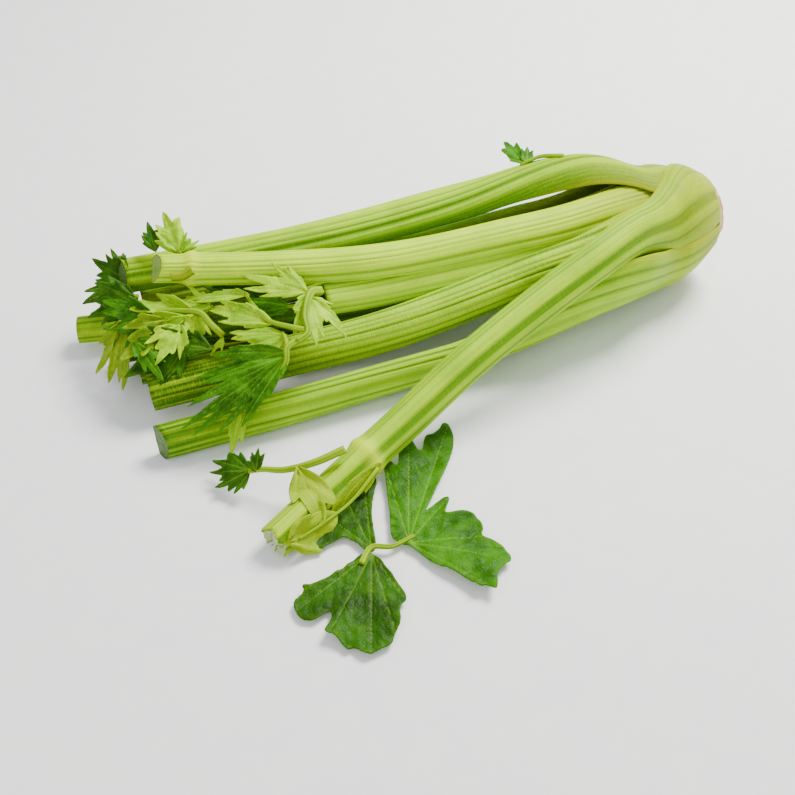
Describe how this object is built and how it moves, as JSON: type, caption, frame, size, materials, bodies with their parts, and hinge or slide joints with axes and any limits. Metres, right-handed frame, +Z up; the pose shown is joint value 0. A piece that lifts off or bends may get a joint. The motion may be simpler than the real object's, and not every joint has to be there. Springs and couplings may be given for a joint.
{
  "type": "head of celery",
  "caption": "Head of celery lying on its side, ribbed stalks fanned out from the root end and cut short at the top, with young leaves among the tops and one leafy stalk splayed in front.",
  "frame": {"origin": "the flat spot under the base of the head, on the surface it lies on", "axes": "+X from the cut tops towards the root end, -Y towards the splayed leafy stalk, +Z up"},
  "size_m": [0.3939, 0.2921, 0.0774],
  "materials": {
    "stalk_bright": "bright yellow-green skin with fine lengthwise ribs, slightly moist",
    "stalk_green": "mid green skin with fine lengthwise ribs, slightly moist",
    "stalk_deep": "darker green skin with fine lengthwise ribs",
    "stalk_pale": "pale yellow heart stalks",
    "root": "pale tan cut root with brown spots",
    "leaf_dark": "dark green leaf blade with light veins",
    "leaf_green": "mid green leaf blade with light veins",
    "leaf_bright": "young yellow-green leaf blade",
    "leaf_olive": "olive green leaf underside"
  },
  "bodies": {
    "root": {"stalk_splayed": "stalk_green", "stalk_front": "stalk_green", "stalk_back": "stalk_deep", "stalk_far": "stalk_green", "stalk_middle": "stalk_green", "stalk_under": "stalk_deep", "stalk_top": "stalk_bright", "stalk_inner_front": "stalk_deep", "stalk_inner_back": "stalk_deep", "stalk_leafy": "stalk_bright", "stalk_long": "stalk_green", "stalk_thin": "stalk_deep", "heart_upper": "stalk_pale", "heart_lower": "stalk_pale", "leaf_lower": "leaf_dark", "leaf_folded": "leaf_olive", "leaf_curled": "leaf_dark", "leaf_sprig": "leaf_green", "spray_centre": "leaf_bright", "spray_drooping": "leaf_green", "leaf_inner": "leaf_dark", "spray_left": "leaf_bright", "leaf_behind": "leaf_dark", "leaf_top_bright": "leaf_bright", "leaf_top_small": "leaf_dark", "leaf_hanging": "leaf_olive", "leaf_pointed": "leaf_green", "leaf_gap": "leaf_dark", "crown": "root"}
  },
  "joints": []
}
